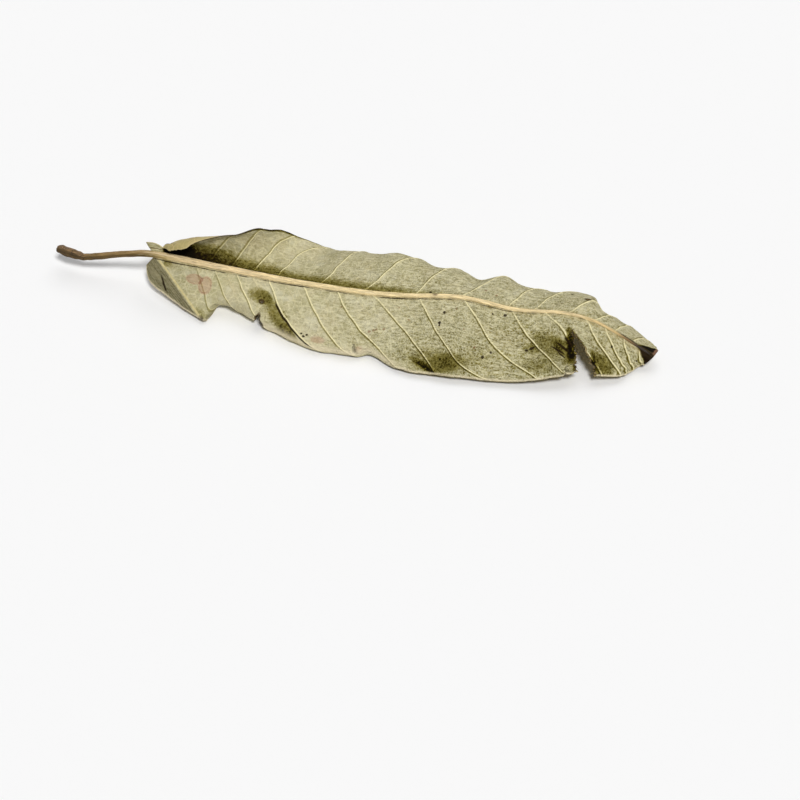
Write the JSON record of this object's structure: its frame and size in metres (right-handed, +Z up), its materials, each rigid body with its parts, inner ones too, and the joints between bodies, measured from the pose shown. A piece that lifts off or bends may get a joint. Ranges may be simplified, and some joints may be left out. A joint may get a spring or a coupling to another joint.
{
  "type": "mango leaf",
  "caption": "Dried mango leaf with its stalk, curled along its length and torn near the tip, lying with its pale underside up.",
  "frame": {"origin": "middle of the leaf's bounding box, on the surface it lies on", "axes": "+X along the leaf from the stalk to the tip, +Z up, out of the surface; the half that is rolled under lies along -Y"},
  "size_m": [0.206, 0.0482, 0.0228],
  "materials": {
    "leaf": "matt, dry and veined"
  },
  "bodies": {
    "root": {"leaf": "leaf"}
  },
  "joints": []
}
